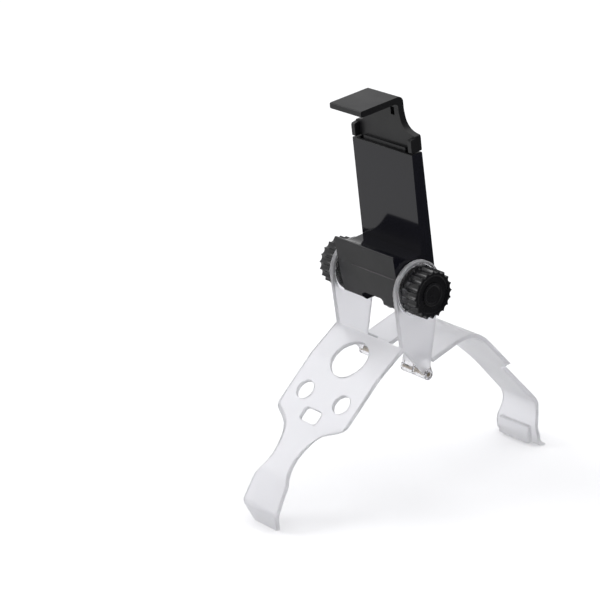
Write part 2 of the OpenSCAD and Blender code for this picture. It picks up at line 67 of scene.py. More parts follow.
clampFrame = Matrix.Translation((0, layout["pivotY"] * mm, layout["pivotZ"] * mm)) @ Matrix.Rotation(math.radians(layout["leanDeg"]), 4, "X")
pivotFrame = Matrix.Translation((0, layout["pivotY"] * mm, layout["pivotZ"] * mm))
hingeFrame = Matrix.Translation((0, layout["hingeY"] * mm, layout["hingeZ"] * mm))
mirrorX = Matrix.Scale(-1, 4, (1, 0, 0))


def linearColour(hexCode):
    channels = [int(hexCode[k:k + 2], 16) / 255 for k in (1, 3, 5)]
    return tuple(c / 12.92 if c <= 0.04045 else ((c + 0.055) / 1.055) ** 2.4 for c in channels) + (1.0,)


def addNode(tree, kind, settings=None, links=None):
    # settings go to the node's own fields or, by number or name, to its sockets
    node = tree.nodes.new(kind)
    for key, value in (settings or {}).items():
        if isinstance(key, str) and hasattr(node, key):
            setattr(node, key, value)
        else:
            node.inputs[key].default_value = value
    for key, source in (links or {}).items():
        tree.links.new(source, node.inputs[key])
    return node


def emptyMaterial(name):
    material = bpy.data.materials.new(name)
    material.use_nodes = True
    material.node_tree.nodes.clear()
    return material, material.node_tree


# Frosted clear polycarbonate, injection moulded against an etched tool: it lets white light through but blurs
# everything behind it, so flat faces look pale grey and thick edges darker, with bright polished corners
polycarbonate = {
    "body": "#f0f0f3",
    "ior": 1.58,
    "roughness": 0.36,
    "etchSizeMm": 0.35,
    "etchDepthMm": 0.008,
    "flowSizeMm": 22,
    "transmission": 0.8,
}

# The tool is polished round the knobs' axis and round the hinge pins, so black and steel show through there
polishedDiscs = {
    "roughness": 0.1,
    "transmission": 0.97,
    "places": (
        {"centre": (0, layout["pivotY"] * mm, layout["pivotZ"] * mm), "insideMm": 10.9, "outsideMm": 11.4},
        {"centre": (0, layout["hingeY"] * mm, layout["hingeZ"] * mm), "insideMm": 2.7, "outsideMm": 3.4},
    ),
}


def frostedPolycarbonate():
    material, tree = emptyMaterial("frostedPolycarbonate")
    place = addNode(tree, "ShaderNodeTexCoord")
    etch = addNode(tree, "ShaderNodeTexNoise", {"Scale": 1000 / polycarbonate["etchSizeMm"], "Detail": 2.0}, {"Vector": place.outputs["Object"]})
    flow = addNode(tree, "ShaderNodeTexNoise", {"Scale": 1000 / polycarbonate["flowSizeMm"], "Detail": 3.0}, {"Vector": place.outputs["Object"]})
    haze = addNode(
        tree, "ShaderNodeMapRange",
        {"From Min": 0.3, "From Max": 0.7, "To Min": polycarbonate["roughness"] - 0.05, "To Max": polycarbonate["roughness"] + 0.06},
        {"Value": flow.outputs["Fac"]}
    )
    sideways = addNode(tree, "ShaderNodeVectorMath", {"operation": "MULTIPLY", 1: (0, 1, 1)}, {0: place.outputs["Object"]})
    discs = []
    for disc in polishedDiscs["places"]:
        reach = addNode(tree, "ShaderNodeVectorMath", {"operation": "DISTANCE", 1: disc["centre"]}, {0: sideways.outputs["Vector"]})
        discs.append(addNode(
            tree, "ShaderNodeMapRange",
            {"From Min": disc["insideMm"] * mm, "From Max": disc["outsideMm"] * mm, "To Min": 1.0, "To Max": 0.0},
            {"Value": reach.outputs["Value"]}
        ))
    clear = addNode(tree, "ShaderNodeMath", {"operation": "MAXIMUM"}, {0: discs[0].outputs["Result"], 1: discs[1].outputs["Result"]})
    sheen = addNode(tree, "ShaderNodeMix", {"data_type": "FLOAT", 3: polishedDiscs["roughness"]}, {0: clear.outputs["Value"], 2: haze.outputs["Result"]})
    clarity = addNode(
        tree, "ShaderNodeMix", {"data_type": "FLOAT", 2: polycarbonate["transmission"], 3: polishedDiscs["transmission"]}, {0: clear.outputs["Value"]}
    )
    bump = addNode(tree, "ShaderNodeBump", {"Strength": 0.25, "Distance": polycarbonate["etchDepthMm"] * mm}, {"Height": etch.outputs["Fac"]})
    shader = addNode(
        tree, "ShaderNodeBsdfPrincipled",
        {"Base Color": linearColour(polycarbonate["body"]), "IOR": polycarbonate["ior"], "Transmission Weight": polycarbonate["transmission"]},
        {"Roughness": sheen.outputs[0], "Transmission Weight": clarity.outputs[0], "Normal": bump.outputs["Normal"]}
    )
    addNode(tree, "ShaderNodeOutputMaterial", {}, {"Surface": shader.outputs["BSDF"]})
    return material


# Black ABS off a spark-eroded tool: a fine matt grain that greys under soft light
texturedAbs = {
    "body": "#0f0f12",
    "ior": 1.54,
    "roughness": 0.4,
    "grainMm": 0.25,
    "grainDepthMm": 0.02,
    "wear": "#151518",
    "wearSizeMm": 14,
}

# The same ABS made paler in its body and wear tones: a painted highlight for the bright line along the parting bead
paintedHighlightAbs = dict(texturedAbs, body="#4c484c", wear="#3a373a")

# Black ABS off a polished tool: deep gloss that mirrors the room
polishedAbs = {
    "body": "#0d0d14",
    "ior": 1.54,
    "roughness": 0.09,
    "grainMm": 3.5,
    "grainDepthMm": 0.004,
    "wear": "#131319",
    "wearSizeMm": 18,
}


def blackAbs(name, finish):
    material, tree = emptyMaterial(name)
    place = addNode(tree, "ShaderNodeTexCoord")
    grain = addNode(tree, "ShaderNodeTexNoise", {"Scale": 1000 / finish["grainMm"], "Detail": 3.0, "Roughness": 0.55}, {"Vector": place.outputs["Object"]})
    wear = addNode(tree, "ShaderNodeTexNoise", {"Scale": 1000 / finish["wearSizeMm"], "Detail": 4.0}, {"Vector": place.outputs["Object"]})
    colour = addNode(
        tree, "ShaderNodeMix",
        {"data_type": "RGBA", 6: linearColour(finish["body"]), 7: linearColour(finish["wear"])},
        {0: wear.outputs["Fac"]}
    )
    sheen = addNode(
        tree, "ShaderNodeMapRange",
        {"From Min": 0.3, "From Max": 0.7, "To Min": finish["roughness"] * 0.9, "To Max": finish["roughness"] * 1.15},
        {"Value": wear.outputs["Fac"]}
    )
    bump = addNode(tree, "ShaderNodeBump", {"Strength": 0.5, "Distance": finish["grainDepthMm"] * mm}, {"Height": grain.outputs["Fac"]})
    shader = addNode(
        tree, "ShaderNodeBsdfPrincipled", {"IOR": finish["ior"]},
        {"Base Color": colour.outputs[2], "Roughness": sheen.outputs["Result"], "Normal": bump.outputs["Normal"]}
    )
    addNode(tree, "ShaderNodeOutputMaterial", {}, {"Surface": shader.outputs["BSDF"]})
    return material


# Black ABS of the knobs: a fine satin, so the ribs carry narrow highlights
satinAbs = {
    "body": "#0b0b0e",
    "ior": 1.54,
    "roughness": 0.26,
    "grainMm": 0.5,
    "grainDepthMm": 0.01,
    "wear": "#111114",
    "wearSizeMm": 9,
}


# Zinc-plated and drawn steel, turned brass and white nylon for the small hardware
smallHardware = {
    "zincPlatedSteel": {"body": "#c3c4c6", "metallic": 1.0, "roughness": 0.28, "grainMm": 0.3},
    "nickelPlatedSteel": {"body": "#c4b8a6", "metallic": 1.0, "roughness": 0.3, "grainMm": 0.25},
    "springSteel": {"body": "#a9a9ac", "metallic": 1.0, "roughness": 0.22, "grainMm": 0.2},
    "turnedBrass": {"body": "#d8b25e", "metallic": 1.0, "roughness": 0.25, "grainMm": 0.25},
    "naturalNylon": {"body": "#e6e4dc", "metallic": 0.0, "roughness": 0.45, "grainMm": 0.5},
}


def hardwareFinish(name):
    finish = smallHardware[name]
    material, tree = emptyMaterial(name)
    place = addNode(tree, "ShaderNodeTexCoord")
    grain = addNode(tree, "ShaderNodeTexNoise", {"Scale": 1000 / finish["grainMm"], "Detail": 2.0}, {"Vector": place.outputs["Object"]})
    spread = addNode(
        tree, "ShaderNodeMapRange",
        {"From Min": 0.3, "From Max": 0.7, "To Min": finish["roughness"] * 0.8, "To Max": finish["roughness"] * 1.25},
        {"Value": grain.outputs["Fac"]}
    )
    bump = addNode(tree, "ShaderNodeBump", {"Strength": 0.2, "Distance": 0.01 * mm}, {"Height": grain.outputs["Fac"]})
    settings = {"Base Color": linearColour(finish["body"]), "Metallic": finish["metallic"]}
    if finish["metallic"] == 0:
        settings["IOR"] = 1.53  # nylon
    shader = addNode(tree, "ShaderNodeBsdfPrincipled", settings, {"Roughness": spread.outputs["Result"], "Normal": bump.outputs["Normal"]})
    addNode(tree, "ShaderNodeOutputMaterial", {}, {"Surface": shader.outputs["BSDF"]})
    return material


clearPlastic = frostedPolycarbonate()
satinBlack = blackAbs("texturedAbs", texturedAbs)
glossBlack = blackAbs("polishedAbs", polishedAbs)
knobBlack = blackAbs("satinAbs", satinAbs)
paintedHighlightBlack = blackAbs("paintedHighlightAbs", paintedHighlightAbs)
zincSteel = hardwareFinish("zincPlatedSteel")
pinSteel = hardwareFinish("nickelPlatedSteel")
springSteel = hardwareFinish("springSteel")
brass = hardwareFinish("turnedBrass")
nylon = hardwareFinish("naturalNylon")
print("materials made")


def makePiece(name, mesh, body, node, material):
    piece = bpy.data.objects.new(name, mesh)
    bpy.context.scene.collection.objects.link(piece)
    if material is not None:
        mesh.materials.clear()
        mesh.materials.append(material)
    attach(piece, body)
    if node is not None:
        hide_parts(node)
    return piece


def smoothByAngle(mesh, degrees):
    mesh.shade_smooth()
    mesh.set_sharp_from_angle(angle=math.radians(degrees))


# Moulded plastic has no knife edges: each outer edge gets a small rounding, in mm
edgeRounding = {
    "clamp_body": 0.22,
    "back_cover": 0.22,
    "top_jaw": 0.45,
}

# The clear sheets are softened all over, as moulded and tumbled parts are: a fine skin is drawn over the shape
# and relaxed, which rounds every edge by about the same radius
clearSkin = {"gridMm": 0.3, "relaxing": 0.5, "passes": 4, "kept": 0.35}


def softenedCopy(node, name, body):
    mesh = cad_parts[node].data.copy()
    mesh.name = name
    if mesh.has_custom_normals:
        mesh.attributes.remove(mesh.attributes["custom_normal"])
    shape = bmesh.new()
    shape.from_mesh(mesh)
    bmesh.ops.remove_doubles(shape, verts=shape.verts, dist=0.002 * mm)
    shape.to_mesh(mesh)
    shape.free()
    piece = makePiece(name, mesh, body, node, clearPlastic)
    skin = piece.modifiers.new("skin", "REMESH")
    skin.mode = "VOXEL"
    skin.voxel_size = clearSkin["gridMm"] * mm
    relaxed = piece.modifiers.new("relaxed", "SMOOTH")
    relaxed.factor = clearSkin["relaxing"]
    relaxed.iterations = clearSkin["passes"]
    lighter = piece.modifiers.new("lighter", "DECIMATE")
    lighter.ratio = clearSkin["kept"]
    drawn = bpy.data.meshes.new_from_object(piece.evaluated_get(bpy.context.evaluated_depsgraph_get()))
    piece.modifiers.clear()
    piece.data = drawn
    drawn.name = name
    drawn.materials.clear()
    drawn.materials.append(clearPlastic)
    drawn.shade_smooth()
    print(name, "has", len(drawn.polygons), "faces")
    return piece


def applyShape(piece, name, material):
    drawn = bpy.data.meshes.new_from_object(piece.evaluated_get(bpy.context.evaluated_depsgraph_get()))
    piece.modifiers.clear()
    shape = bmesh.new()
    shape.from_mesh(drawn)
    bmesh.ops.triangulate(shape, faces=shape.faces, quad_method="BEAUTY", ngon_method="BEAUTY")
    bmesh.ops.dissolve_degenerate(shape, edges=shape.edges, dist=0.002 * mm)
    shape.to_mesh(drawn)
    shape.free()
    piece.data = drawn
    drawn.name = name
    drawn.materials.clear()
    drawn.materials.append(material)


def roundedCopy(node, name, body, material, width):
    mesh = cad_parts[node].data.copy()
    mesh.name = name
    if mesh.has_custom_normals:
        mesh.attributes.remove(mesh.attributes["custom_normal"])
    shape = bmesh.new()
    shape.from_mesh(mesh)
    bmesh.ops.remove_doubles(shape, verts=shape.verts, dist=0.002 * mm)
    bmesh.ops.dissolve_limit(shape, angle_limit=math.radians(0.6), verts=shape.verts, edges=shape.edges, delimit={"NORMAL"})
    shape.to_mesh(mesh)
    shape.free()
    piece = makePiece(name, mesh, body, node, material)
    mesh.attributes.new("bevel_weight_edge", "FLOAT", "EDGE")
    shape = bmesh.new()
    shape.from_mesh(mesh)
    layer = shape.edges.layers.float["bevel_weight_edge"]
    for edge in shape.edges:
        sharp = len(edge.link_faces) == 2 and edge.is_convex and edge.calc_face_angle() > math.radians(34)
        edge[layer] = 1.0 if sharp else 0.0
    shape.to_mesh(mesh)
    shape.free()
    rounding = piece.modifiers.new("edgeRounding", "BEVEL")
    rounding.width = width * mm
    rounding.segments = 3
    rounding.limit_method = "WEIGHT"
    rounding.use_clamp_overlap = True
    rounding.miter_outer = "MITER_ARC"
    applyShape(piece, name, material)
    smoothByAngle(piece.data, 34)
    even = piece.modifiers.new("evenShading", "WEIGHTED_NORMAL")
    even.keep_sharp = True
    even.weight = 100
    return piece


softenedCopy("front_bracket", "frontBracketMoulding", "bracket")
softenedCopy("rear_arm", "rearArmMoulding", "arm")
clampShell = roundedCopy("clamp_body", "clampBodyMoulding", "clamp", satinBlack, edgeRounding["clamp_body"])
coverShell = roundedCopy("back_cover", "backCoverMoulding", "clamp", satinBlack, edgeRounding["back_cover"])
jawShell = roundedCopy("top_jaw", "topJawMoulding", "jaw", satinBlack, edgeRounding["top_jaw"])
print("mouldings rounded")

# The tool leaves a crisp inner corner where the slab's front meets the trough behind the lip
footCorner = {"y": 5.4, "z": 12.6, "reach": 0.42}


def sharpenFootCorner(piece):
    shape = bmesh.new()
    shape.from_mesh(piece.data)
    toClamp = clampFrame.inverted()
    for vertex in shape.verts:
        local = toClamp @ vertex.co / mm
        behind = footCorner["y"] - local.y
        above = local.z - footCorner["z"]
        if -0.05 < behind < footCorner["reach"] and -0.1 < above < footCorner["reach"]:
            vertex.co = clampFrame @ (Vector((local.x, footCorner["y"], footCorner["z"])) * mm)
    bmesh.ops.remove_doubles(shape, verts=shape.verts, dist=0.005 * mm)
    bmesh.ops.dissolve_degenerate(shape, edges=shape.edges, dist=0.005 * mm)
    shape.to_mesh(piece.data)
    shape.free()
    smoothByAngle(piece.data, 34)


# The slab's front face, the shelf and the slab's sides come off a polished part of the tool
polishedFaces = {
    "slabFrontY": 5.4,
    "slabLowZ": 12.0,
    "shelfTopZ": 17.5,
    "sideLowZ": -10,
}


def polishFaces(piece, glossy, test):
    piece.data.materials.append(glossy)
    toClamp = clampFrame.inverted()
    turned = toClamp.to_3x3()
    for face in piece.data.polygons:
        if test(toClamp @ face.center / mm, turned @ face.normal):
            face.material_index = 1


def onSlabFront(centre, normal):
    onFace = abs(centre.y - polishedFaces["slabFrontY"]) < 0.2 and normal.y < -0.9
    onShelf = centre.z < polishedFaces["shelfTopZ"] and centre.z > polishedFaces["slabLowZ"] - 0.5 and normal.z > 0.3 and normal.y > -0.3
    onTrough = normal.y > 0.2 and normal.z > 0.2 and centre.z > 11
    onSide = abs(normal.x) > 0.9
    return onFace or onShelf or onTrough or onSide


sharpenFootCorner(clampShell)
polishFaces(clampShell, glossBlack, onSlabFront)
polishFaces(coverShell, glossBlack, lambda centre, normal: abs(normal.x) > 0.9)


def addRing(shape, matrix, points):
    return [shape.verts.new(matrix @ Vector(p)) for p in points]


def joinRings(shape, rings, closedEnds=True):
    for low, high in zip(rings, rings[1:]):
        count = len(low)
        for k in range(count):
            shape.faces.new((low[k], low[(k + 1) % count], high[(k + 1) % count], high[k]))
    if closedEnds:
        shape.faces.new(list(reversed(rings[0])))
        shape.faces.new(rings[-1])


def finishShape(shape, name, degrees=35):
    bmesh.ops.recalc_face_normals(shape, faces=shape.faces)
    mesh = bpy.data.meshes.new(name)
    shape.to_mesh(mesh)
    shape.free()
    smoothByAngle(mesh, degrees)
    return mesh


def turnedMesh(name, matrix, profile, segments=64, closed=False, degrees=35):
    # profile is [x, radius] pairs in mm, turned about the X axis
    shape = bmesh.new()
    rings = []
    for x, radius in profile:
        angles = [2 * math.pi * k / segments for k in range(segments)]
        rings.append(addRing(shape, matrix, [(x * mm, radius * math.cos(a) * mm, radius * math.sin(a) * mm) for a in angles]))
    if closed:
        rings.append(rings[0])
    joinRings(shape, rings, closedEnds=not closed)
    return finishShape(shape, name, degrees)


# Thumb knob: twenty scalloped teeth round a dished face
knob = {
    "innerX": 20.7,
    "thickness": 8.8,
    "tipRadius": 10.2,
    "scallopRadius": 1.75,
    "scallopOrbit": 11.0,
    "teeth": 20,
    "tipRounding": 0.25,
    "edgeChamfer": 0.55,
    "dishRadius": 7.9,
    "dishDepth": 0.8,
    "capRadius": 4.95,
    "boreRadius": 2.02,
    "rightTipDeg": 54.6,
    "leftTipDeg": 101.5,
    "stepsPerTooth": 20,
}


def knobRadius(angle):
    # distance from the nearest scallop's centre line, softly limited by the tip circle
    pitch = 2 * math.pi / knob["teeth"]
    off = (angle + pitch / 2) % pitch - pitch / 2 - pitch / 2 * (1 if (angle + pitch / 2) % pitch - pitch / 2 > 0 else -1)
    orbit, scallop = knob["scallopOrbit"], knob["scallopRadius"]
    inside = scallop ** 2 - (orbit * math.sin(off)) ** 2
    if inside <= 0:
        return knob["tipRadius"]
    groove = orbit * math.cos(off) - math.sqrt(inside)
    soft = knob["tipRounding"]
    gap = knob["tipRadius"] - groove
    if gap > soft:
        return groove
    blend = max(0.0, gap + soft) / (2 * soft)
    return knob["tipRadius"] - soft * blend * blend


def knobMesh(name, side, tipDeg):
    shape = bmesh.new()
    matrix = pivotFrame @ (mirrorX if side == "left" else Matrix.Identity(4))
    steps = knob["teeth"] * knob["stepsPerTooth"]
    angles = [2 * math.pi * k / steps for k in range(steps)]
    tips = [knobRadius(a) for a in angles]
    phase = math.radians(tipDeg)
    x0 = knob["innerX"]
    x1 = x0 + knob["thickness"]

    def ring(x, radii):
        points = [(x * mm, r * math.cos(a + phase) * mm, r * math.sin(a + phase) * mm) for a, r in zip(angles, radii)]
        return addRing(shape, matrix, points)

    def inset(amount):
        return [r - amount for r in tips]

    c = knob["edgeChamfer"]
    rings = [
        ring(x0, [knob["boreRadius"]] * steps), ring(x0, [7.0] * steps), ring(x0, inset(c)),
        ring(x0 + c * 0.3, inset(c * 0.3)), ring(x0 + c, tips), ring(x1 - c, tips), ring(x1 - c * 0.7, inset(c * 0.1)),
        ring(x1 - c * 0.3, inset(c * 0.35)), ring(x1 - c * 0.05, inset(c * 0.75)), ring(x1, inset(c * 1.1)),
        ring(x1, [knob["dishRadius"] + 0.25] * steps), ring(x1 - 0.08, [knob["dishRadius"] + 0.06] * steps), ring(x1 - 0.3, [knob["dishRadius"]] * steps),
        ring(x1 - knob["dishDepth"] + 0.2, [knob["dishRadius"]] * steps), ring(x1 - knob["dishDepth"], [knob["dishRadius"] - 0.2] * steps),
        ring(x1 - knob["dishDepth"], [knob["capRadius"] + 0.1] * steps), ring(x1 - knob["dishDepth"] - 0.1, [knob["capRadius"]] * steps),
        ring(x1 - 1.6, [knob["capRadius"]] * steps), ring(x1 - 1.6, [4.06] * steps), ring(25.1, [4.06] * steps), ring(25.1, [knob["boreRadius"]] * steps)
    ]
    rings.append(rings[0])
    joinRings(shape, rings, closedEnds=False)
    return finishShape(shape, name, 32)


for side, tipDeg in (("left", knob["leftTipDeg"]), ("right", knob["rightTipDeg"])):
    makePiece(side + "ThumbKnob", knobMesh(side + "ThumbKnob", side, tipDeg), side + "_knob", side + "_knob", knobBlack)

# Knob cap: a press-in disc with a rounded rim and a shallow dish
cap = {"innerX": 27.9, "radius": 4.9, "thickness": 1.4, "rimRadius": 3.75, "dishDepth": 0.3}
for side in ("left", "right"):
    x0, x1, r = cap["innerX"], cap["innerX"] + cap["thickness"], cap["radius"]
    profile = [
        (x0, 0.01), (x0, r - 0.2), (x0 + 0.2, r), (x1 - 0.35, r), (x1 - 0.17, r - 0.05), (x1 - 0.05, r - 0.17), (x1, r - 0.35),
        (x1, cap["rimRadius"] + 0.2), (x1 - 0.08, cap["rimRadius"] + 0.03), (x1 - cap["dishDepth"], cap["rimRadius"] - 0.15),
        (x1 - cap["dishDepth"], 2.0), (x1 - cap["dishDepth"], 0.01)
    ]
    matrix = pivotFrame @ (mirrorX if side == "left" else Matrix.Identity(4))
    makePiece(side + "KnobCap", turnedMesh(side + "KnobCap", matrix, profile), side + "_knob", side + "_knob_cap", knobBlack)
print("knobs made")

# M4 stud: ridged thread with a chamfered tip and a hexagon head inside the knob
stud = {"tipX": 8.7, "headX": 25.1, "radius": 2.0, "rootRadius": 1.72, "pitch": 0.7, "headFlats": 7.0, "headThickness": 2.8}


def studMesh(name, side):
    matrix = clampFrame @ (mirrorX if side == "left" else Matrix.Identity(4))
    shape = bmesh.new()
    segments = 32
    profile = [(stud["tipX"], 0.01), (stud["tipX"], stud["rootRadius"] - 0.3), (stud["tipX"] + 0.3, stud["rootRadius"])]
    x = stud["tipX"] + 0.3
    while x + stud["pitch"] < stud["headX"] - 1.0:
        profile += [(x + 0.3 * stud["pitch"], stud["radius"]), (x + 0.55 * stud["pitch"], stud["radius"]), (x + 0.95 * stud["pitch"], stud["rootRadius"])]
        x += stud["pitch"]
    profile += [(x + 0.3, stud["radius"]), (stud["headX"] + 0.01, stud["radius"])]
    rings = []
    for place, radius in profile:
        angles = [2 * math.pi * k / segments for k in range(segments)]
        rings.append(addRing(shape, matrix, [(place * mm, radius * math.cos(a) * mm, radius * math.sin(a) * mm) for a in angles]))
    joinRings(shape, rings)
    corner = stud["headFlats"] / 2 / math.cos(math.pi / 6)
    x0, x1 = stud["headX"], stud["headX"] + stud["headThickness"]
    hexRings = []
    for place, radius in ((x0, corner - 0.3), (x0 + 0.2, corner), (x1 - 0.25, corner), (x1, corner - 0.4)):
        points = [(place * mm, radius * math.cos(k * math.pi / 3 + math.pi / 2) * mm, radius * math.sin(k * math.pi / 3 + math.pi / 2) * mm) for k in range(6)]
        hexRings.append(addRing(shape, matrix, points))
    joinRings(shape, hexRings)
    return finishShape(shape, name, 25)


for side in ("left", "right"):
    makePiece(side + "ClampStud", studMesh(side + "ClampStud", side), side + "_knob", side + "_stud", zincSteel)

# Insert nut: knurled brass sleeve with a plain collar at each end
insert = {"lowX": 9.4, "highX": 14.2, "radius": 2.93, "boreRadius": 2.05, "knurls": 24, "knurlDepth": 0.16}


def insertMesh(name, side):
    matrix = clampFrame @ (mirrorX if side == "left" else Matrix.Identity(4))
    shape = bmesh.new()
    steps = insert["knurls"] * 4
    angles = [2 * math.pi * k / steps for k in range(steps)]

    def ring(x, radius, knurled=False):
        radii = [radius - (insert["knurlDepth"] if knurled and k % 4 in (0, 1) else 0) for k in range(steps)]
        return addRing(shape, matrix, [(x * mm, r * math.cos(a) * mm, r * math.sin(a) * mm) for a, r in zip(angles, radii)])

    low, high, r, bore = insert["lowX"], insert["highX"], insert["radius"], insert["boreRadius"]
    rings = [
        ring(low, bore + 0.2), ring(low, r - 0.3), ring(low + 0.2, r - 0.1), ring(low + 0.6, r - 0.1), ring(low + 0.7, r, True), ring(low + 2.0, r, True),
        ring(low + 2.1, r - 0.3), ring(low + 2.7, r - 0.3), ring(low + 2.8, r, True), ring(high - 0.5, r, True), ring(high - 0.4, r - 0.1),
        ring(high - 0.1, r - 0.1), ring(high, r - 0.25), ring(high, bore + 0.2), ring(high - 0.2, bore), ring(low + 0.2, bore)
    ]
    rings.append(rings[0])
    joinRings(shape, rings, closedEnds=False)
    return finishShape(shape, name, 25)


for side in ("left", "right"):
    makePiece(side + "InsertNut", insertMesh(side + "InsertNut", side), "clamp", side + "_insert_nut", brass)

# Friction washer between block and ear
washer = {"lowX": 17.27, "thickness": 1.0, "radius": 7.0, "boreRadius": 2.25, "edge": 0.12}
for side in ("left", "right"):
    x0, x1, r, b, e = washer["lowX"], washer["lowX"] + washer["thickness"], washer["radius"], washer["boreRadius"], washer["edge"]
    profile = [(x0, b + e), (x0, r - e), (x0 + e, r), (x1 - e, r), (x1, r - e), (x1, b + e), (x1 - e, b), (x0 + e, b)]
    matrix = clampFrame @ (mirrorX if side == "left" else Matrix.Identity(4))
    makePiece(side + "FrictionWasher", turnedMesh(side + "FrictionWasher", matrix, profile, closed=True), "clamp", side + "_washer", nylon)

# Plain steel pins with chamfered ends, as [frame, low x, high x, radius, body, node]
pins = {
    "leftHingePin": [hingeFrame @ mirrorX, 5.8, 20.4, 1.0, "bracket", "left_hinge_pin"],
    "rightHingePin": [hingeFrame, 5.8, 20.4, 1.0, "bracket", "right_hinge_pin"],
    "springAnchorPin": [clampFrame @ Matrix.Translation((0, 8.15 * mm, 15.2 * mm)), -15.5, 15.5, 0.6, "clamp", "spring_anchor_pin"],
    "jawSpringPin": [clampFrame @ Matrix.Translation((0, 8.15 * mm, 51.4 * mm)), -11.0, 11.0, 0.6, "jaw", "jaw_spring_pin"],
}
for name, (place, low, high, radius, body, node) in pins.items():
    chamfer = radius * 0.2
    profile = [(low, 0.01), (low, radius - chamfer), (low + chamfer, radius), (high - chamfer, radius), (high, radius - chamfer), (high, 0.01)]
    makePiece(name, turnedMesh(name, place, profile, segments=48), body, node, pinSteel)

# Cover screw: pan head with a cross recess, set in the cover's well
screw = {"seatY": 10.2, "z": 8.0, "radius": 1.05, "rootRadius": 0.8, "pitch": 0.9, "length": 8.0, "headRadius": 2.0, "headThickness": 1.4}


def screwMesh(name):
    # made along X, then turned so that the head looks backwards
    matrix = clampFrame @ Matrix.Translation((0, screw["seatY"] * mm, screw["z"] * mm)) @ Matrix.Rotation(math.radians(-90), 4, "Z")
    shape = bmesh.new()
    segments = 48
    profile = [(screw["length"], 0.01), (screw["length"] - 0.8, screw["rootRadius"] * 0.7)]
    x = screw["length"] - 0.8
    while x - screw["pitch"] > 0.6:
        profile += [(x - 0.35 * screw["pitch"], screw["radius"]), (x - 0.5 * screw["pitch"], screw["radius"]), (x - 0.95 * screw["pitch"], screw["rootRadius"])]
        x -= screw["pitch"]
    r, t = screw["headRadius"], screw["headThickness"]
    profile += [(0.0, screw["rootRadius"]), (0.0, r - 0.15), (-0.15, r), (-0.6, r), (-1.0, r - 0.15), (-1.25, r - 0.5), (-t, r - 1.0)]
    rings = []
    for place, radius in profile:
        angles = [2 * math.pi * k / segments for k in range(segments)]
        rings.append(addRing(shape, matrix, [(place * mm, radius * math.cos(a) * mm, radius * math.sin(a) * mm) for a in angles]))
    joinRings(shape, rings, closedEnds=False)
    shape.faces.new(list(reversed(rings[0])))
    # the cross recess: a plus-shaped well sunk in the head's flat top
    half, arm, depth = 0.22, 0.85, 0.9
    cross = [(half, arm), (half, half), (arm, half), (arm, -half), (half, -half), (half, -arm), (-half, -arm), (-half, -half), (-arm, -half), (-arm, half), (-half, half), (-half, arm)]
    top = addRing(shape, matrix, [(-t * mm, y * mm, z * mm) for y, z in cross])
    floor = addRing(shape, matrix, [((-t + depth) * mm, y * 0.8 * mm, z * 0.8 * mm) for y, z in cross])
    joinRings(shape, [top, floor], closedEnds=False)
    shape.faces.new(floor)
    bmesh.ops.bridge_loops(shape, edges=[e for e in shape.edges if e.is_boundary])
    return finishShape(shape, name, 30)


makePiece("coverScrew", screwMesh("coverScrew"), "clamp", "cover_screw", zincSteel)
print("hardware made")

# Jaw springs: close-wound extension springs with a loop at each end, stretched between the two pins
spring = {"x": 8.0, "y": 8.15, "lowZ": 15.2, "highZ": 51.4, "wire": 0.32, "coilRadius": 0.92, "loopRadius": 0.86, "turns": 58, "loopGap": 1.0}


def springMesh(name, side):
    path = []
    low, high = spring["lowZ"] + spring["loopGap"], spring["highZ"] - spring["loopGap"]
    for k in range(0, 25):
        angle = math.radians(-90 + 345 * k / 24 - 180)
        path.append((0.0, spring["loopRadius"] * math.sin(angle + math.pi / 2) * 0.98, spring["lowZ"] + spring["loopRadius"] * math.cos(angle + math.pi / 2)))
    perTurn = 14
    for k in range(spring["turns"] * perTurn + 1):
        t = k / (spring["turns"] * perTurn)
        angle = 2 * math.pi * k / perTurn
        path.append((spring["coilRadius"] * math.sin(angle), spring["coilRadius"] * math.cos(angle), low + (high - low) * t))
    for k in range(0, 25):
        angle = math.radians(-90 + 345 * k / 24)
        path.append((0.0, spring["loopRadius"] * math.sin(angle + math.pi / 2) * 0.98, spring["highZ"] - spring["loopRadius"] * math.cos(angle + math.pi / 2)))
    curve = bpy.data.curves.new(name, "CURVE")
    curve.dimensions = "3D"
    curve.bevel_depth = spring["wire"] / 2 * mm
    curve.bevel_resolution = 2
    curve.use_fill_caps = True
    strand = curve.splines.new("POLY")
    strand.points.add(len(path) - 1)
    matrix = clampFrame @ Matrix.Translation(((spring["x"] if side == "right" else -spring["x"]) * mm, spring["y"] * mm, 0))
    for point, place in zip(strand.points, path):
        point.co = (*(matrix @ (Vector(place) * mm)), 1)
    holder = bpy.data.objects.new(name + "Path", curve)
    bpy.context.scene.collection.objects.link(holder)
    mesh = bpy.data.meshes.new_from_object(holder.evaluated_get(bpy.context.evaluated_depsgraph_get()))
    bpy.data.objects.remove(holder)
    mesh.shade_smooth()
    return mesh


for side in ("left", "right"):
    name = side + "JawSpring"
    mesh = springMesh(name, side)
    mesh.materials.clear()
    mesh.materials.append(springSteel)
    piece = bpy.data.objects.new(name, mesh)
    bpy.context.scene.collection.objects.link(piece)
    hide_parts(side + "_jaw_spring")
    start = clampFrame @ Vector((0, spring["y"] * mm, (spring["lowZ"] + 1) * mm))
    end = clampFrame @ Vector((0, spring["y"] * mm, (spring["highZ"] - 1) * mm))
    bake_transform(piece, "clamp", "jaw", start=tuple(start), end=tuple(end))
print("springs made")

# A fine parting line runs across the lower jaw's face, where its upper and lower slopes meet
partingLine = {"y": -8.93, "z": 6.45, "lowX": -9.0, "highX": 17.3, "radius": 0.22}


